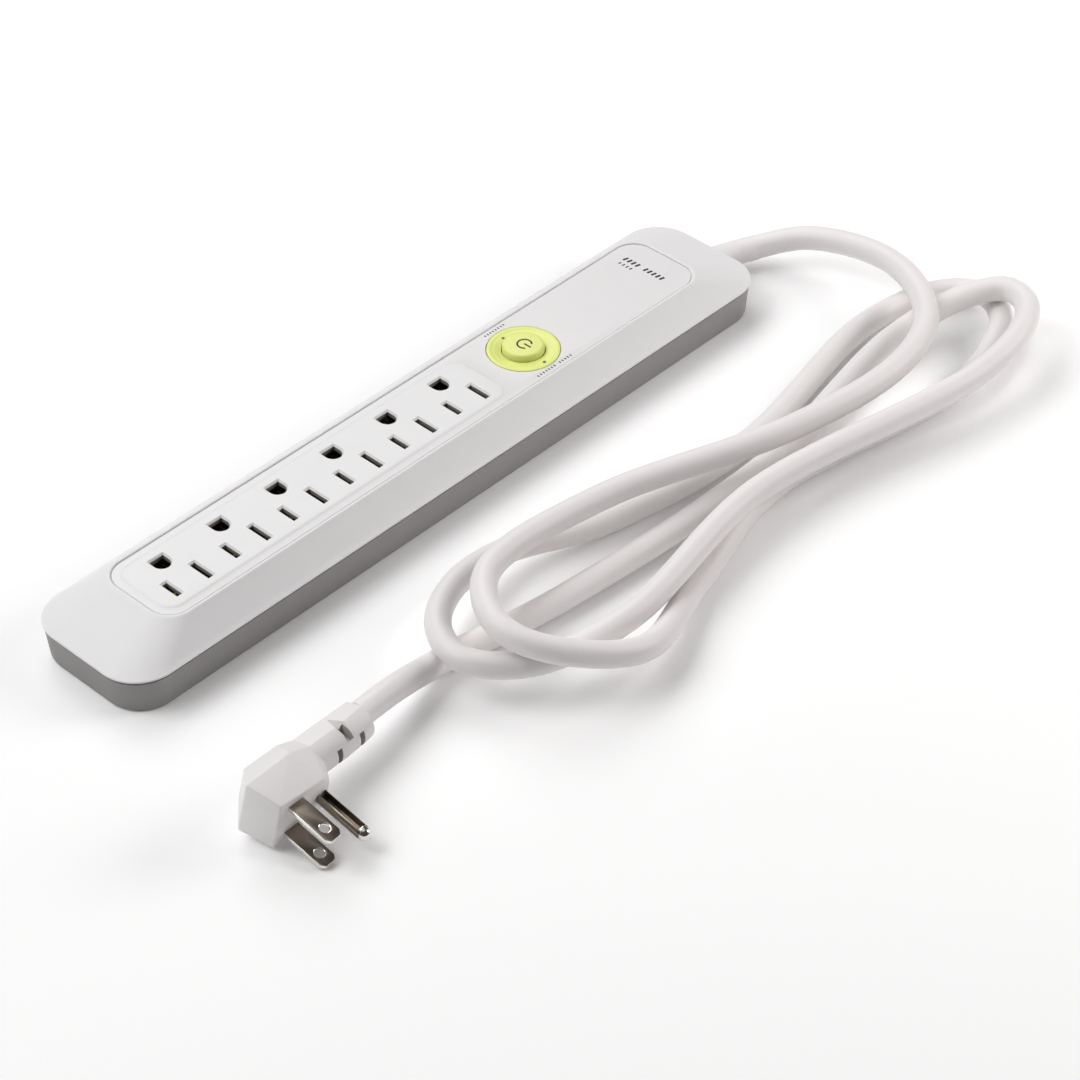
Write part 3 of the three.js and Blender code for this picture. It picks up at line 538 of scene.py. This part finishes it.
# The flange stands inside the wall on a straight line, and the sleeve follows the cord outside it.
INSIDE_X = 140.0
straight = np.array([(INSIDE_X, 0, CORD_Z), (INSIDE_X + 20, 0, CORD_Z)])
FLANGE = [(144.5, 5.5), (144.7, 5.8), (147.2, 5.8), (147.4, 5.6), (147.4, 4.85), (150.8, 4.85)]
SLEEVE = [(1.5, 4.9), (1.8, 4.95), (5, 4.86), (10, 4.76), (15, 4.68), (19.4, 4.62), (19.8, 4.56), (20, 4.5)]
relief_rings = [ring_on(straight, [0, 20], x - INSIDE_X, radius) for x, radius in FLANGE]
relief_rings += [ring_on(relief_line, far, at, radius) for at, radius in SLEEVE]
relief = made("relief", *skin(relief_rings), CORD, 40)
stands_for(relief, "housing", "cord_jacket", "strain_relief")

# ---------------------------------------------------------------- plug
plug_along = Vector((0.9992, 0.0335, -0.0231)).normalized()
plug_across = plug_along.cross(Vector((0.0276, -0.975, -0.2206))).normalized()
plug_out = plug_across.cross(plug_along).normalized()
PLUG_PLACE = Vector((-151.8, -99, 11.4))
plug_frame = Matrix.Translation(PLUG_PLACE * MM) @ Matrix((
    (plug_along.x, plug_out.x, plug_across.x, 0), (plug_along.y, plug_out.y, plug_across.y, 0),
    (plug_along.z, plug_out.z, plug_across.z, 0), (0, 0, 0, 1)))


def placed(o):
    """A piece made in the plug's frame, moved to where the plug lies."""
    o.data.transform(plug_frame)
    return o


PLUG_FACE, PLUG_BACK, NECK_END = 0.5, -18.7, 42.3
HEAD_CORNERS = [
    (-6.8, PLUG_FACE, 10.3), (12.3, PLUG_FACE, 8.5), (15, PLUG_FACE, 4.5),
    (-9.6, -11.8, 11.4), (9, -12.1, 11.5), (-3.2, PLUG_BACK, 7), (10.9, PLUG_BACK, 7),
    (18.5, PLUG_BACK - .1, 3), (18.5, -12.1, 6.7), (19.2, -5.4, 3.8),
]


def hull(name, corners, material):
    """The convex solid over the corners and their mirror images in z."""
    bm = bmesh.new()
    for x, y, z in corners:
        for side in (1, -1):
            bm.verts.new((x * MM, y * MM, side * z * MM))
    bmesh.ops.convex_hull(bm, input=bm.verts)
    bmesh.ops.dissolve_limit(bm, angle_limit=math.radians(3), verts=bm.verts, edges=bm.edges)
    mesh = bpy.data.meshes.new(name)
    bm.to_mesh(mesh)
    bm.free()
    return finished(name, mesh, material)


def neck_ring(x, ridge_y, depth, half_z, back_z, steps=28):
    """The neck's outline at x: round in front of the ridge, chamfered behind it."""
    ring = [(x, PLUG_BACK, back_z), (x, PLUG_BACK, -back_z)]
    for a in np.linspace(-math.pi / 2, math.pi / 2, steps + 1):
        ring.append((x, ridge_y + depth * math.cos(a), half_z * math.sin(a)))
    return ring


head = softened(hull("plug", HEAD_CORNERS, PLUG), .55, 4, 8)
NECK = [
    (12, -12.1, 6.9, 6.7, 3.1), (30, -12.1, 6.9, 6.6, 3.1), (38, -12.6, 7, 6.4, 3),
    (NECK_END - .7, -13, 7, 6.25, 2.85), (NECK_END - .2, -13.1, 6.8, 6.05, 2.7),
    (NECK_END, -13.1, 6.5, 5.7, 2.5),
]
neck = made("neck", *skin([neck_ring(*section) for section in NECK]), PLUG)
plug = carved(head, neck, "UNION")

# Each side of the neck has a notch with a deep slot in it, between two windows in front.
WINDOWS = [(25.2, 27.2), (35.2, 37.2)]
SLOT_OUTLINE = [(30.0, -12.2), (32.6, -12.2), (32.8, -6.8), (29.8, -6.8)]
notches, slots = [], []
for side in (1, -1):
    notch = [[(29.0, y, side * 7.2), (33.6, y, side * 7.2), (31.3, y, side * 3.9)] for y in (-20, -4)]
    notches.append(made("notch", *skin(notch), PLUG))
    slots.append(prism("slot", SLOT_OUTLINE, side * 1.6, side * 6.1, PLUG))
for low, high in WINDOWS:
    notches.append(block("window", (low, -9.5, -3.8), (high, 0, 3.8), PLUG))
plug = carved(plug, one("notches", notches), sharp=30)
plug = carved(plug, one("slots", slots), sharp=30)
# The side walls of the windows and slots get a darker colour as painted shade.
plug.data.materials.append(PLUG_RECESS_SHADE)
for face in plug.data.polygons:
    between_windows = WINDOWS[0][0] - .1 < face.center.x / MM < WINDOWS[1][1] + .1
    face.material_index = int(between_windows and abs(face.normal.x) > .9)
stands_for(placed(plug), "housing", "cord_jacket", "plug_body")


def blade(name, z, node):
    """A flat blade with a hole and a cut-off tip, its edges painted bright as a highlight."""
    half, long, half_thick, hole_at = 3.175, 17.6, .75, 12.7
    outline = [(-half, -.2), (half, -.2), (half, long - 1.7), (half - 1.3, long), (1.3 - half, long),
               (-half, long - 1.7)]
    hole = [(1.95, z - .76), (1.65, z - .55), (1.65, z + .55), (1.95, z + .76)]
    o = prism(name, outline, z - half_thick, z + half_thick, NICKEL)
    o = carved(o, turned("hole", 0, hole_at, hole, NICKEL, 40))
    o = softened(o, .22, 3, 30)
    # Every face that is not flat takes the bright metal, as a painted highlight on the edges.
    o.data.materials.append(BLADE_HIGHLIGHT)
    for face in o.data.polygons:
        face.material_index = int(abs(face.normal.z) < .97)
    return stands_for(placed(o), "housing", "blade_nickel", node)


line_blade = blade("blade_low", SLOT_SPACING / 2, "line_blade")
neutral_blade = blade("blade_high", -SLOT_SPACING / 2, "neutral_blade")

PIN_ALONG, BRIGHT_TIP_FROM = 11.9, 17.8
pin_profile = [(2.4, -.2), (2.4, 18.6), (2.3, 19.3), (2.05, 20), (1.6, 20.55), (1.05, 20.88), (.5, 21)]
earth_pin = turned("pin_earth", 0, 0, pin_profile, NICKEL, 40)
channel = block("channel", (-1.35, -.9, -2), (1.35, 4, 17.6), NICKEL)
earth_pin = softened(carved(earth_pin, channel), .2, 2, 35)
# The rounded tip takes the bright metal, as a painted highlight.
earth_pin.data.materials.append(BLADE_HIGHLIGHT)
for face in earth_pin.data.polygons:
    face.material_index = int(face.center.z / MM > BRIGHT_TIP_FROM)
earth_pin.data.transform(Matrix.Translation((PIN_ALONG * MM, 0, 0)) @ Matrix.Rotation(-math.pi / 2, 4, "X"))
stands_for(placed(earth_pin), "housing", "blade_nickel", "earth_pin")

# ---------------------------------------------------------------- CAD pieces that show as they are
LOOKS = {
    "inner_cord_end": CORD, "line_strip": BRASS, "neutral_strip": BRASS, "earth_strip": BRASS,
    "terminal_in": BRASS, "terminal_out": BRASS, "switch_spring": STEEL, "clamp_screw_1": STEEL,
    "clamp_screw_2": STEEL, "switch_body": BLACK, "switch_plunger": NATURAL, "contact_carrier": NATURAL,
    "cord_clamp": NATURAL, "surge_board": BOARD, "indicator_board": BOARD, "thermal_fuse": CERAMIC,
    "earth_indicator": LENS_SHADE, "surge_indicator": LENS_SHADE, "line_wire": WIRES["black"],
    "switched_wire": WIRES["black"], "neutral_wire": WIRES["white"], "earth_wire": WIRES["green"],
}
LOOKS.update({f"varistor_{i}": BLUE for i in (1, 2, 3)})
LOOKS.update({f"case_screw_{i}": STEEL for i in range(1, 7)})
for node, material in LOOKS.items():
    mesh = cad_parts[node].data
    mesh.materials.clear()
    mesh.materials.append(material)

# ---------------------------------------------------------------- studio
floor_mesh = bpy.data.meshes.new("floor")
FLOOR_HALF, FLOOR_Z = 6, -.0002
corners = [(x * FLOOR_HALF, y * FLOOR_HALF, FLOOR_Z) for x, y in ((-1, -1), (1, -1), (1, 1), (-1, 1))]
floor_mesh.from_pydata(corners, [], [(0, 1, 2, 3)])
floor = bpy.data.objects.new("floor", floor_mesh)
bpy.context.scene.collection.objects.link(floor)
paper = bpy.data.materials.new("paper")
paper.use_nodes = True
paper_shader = paper.node_tree.nodes["Principled BSDF"]
paper_shader.inputs["Base Color"].default_value = (.97, .97, .97, 1)
paper_shader.inputs["Roughness"].default_value = .9
paper_shader.inputs["Emission Color"].default_value = (1, 1, 1, 1)
paper_shader.inputs["Emission Strength"].default_value = .05
floor_mesh.materials.append(paper)


def lamp(name, place, target, size, power, color=(1, 1, 1)):
    """A round area light aimed at a target, in metres and watts."""
    data = bpy.data.lights.new(name, "AREA")
    data.shape = "DISK"
    data.size = size
    data.energy = power
    data.color = color
    o = bpy.data.objects.new(name, data)
    bpy.context.scene.collection.objects.link(o)
    o.location = place
    o.rotation_euler = (Vector(target) - Vector(place)).to_track_quat("-Z", "Y").to_euler()


MIDDLE, CORD_END, WARM = (0, -.03, 0), (.1, -.02, 0), (1, .97, .96)
lamp("key", (-.74, .95, 1.72), MIDDLE, 1.4, 11)
lamp("top", (-.15, .25, 1.9), MIDDLE, 2.0, 6.5)
lamp("left", (-1.0, .6, 1.2), MIDDLE, 1.2, 10)
lamp("right", (.62, -.52, .42), CORD_END, .5, 3.4, WARM)
lamp("back", (.5, 1.1, 1.2), MIDDLE, 1.2, 10)
world = bpy.data.worlds.new("world")
world.use_nodes = True
background = world.node_tree.nodes["Background"]
background.inputs["Color"].default_value = (*WARM, 1)
background.inputs["Strength"].default_value = .05
bpy.context.scene.world = world
bpy.context.scene.view_settings.view_transform = "Standard"
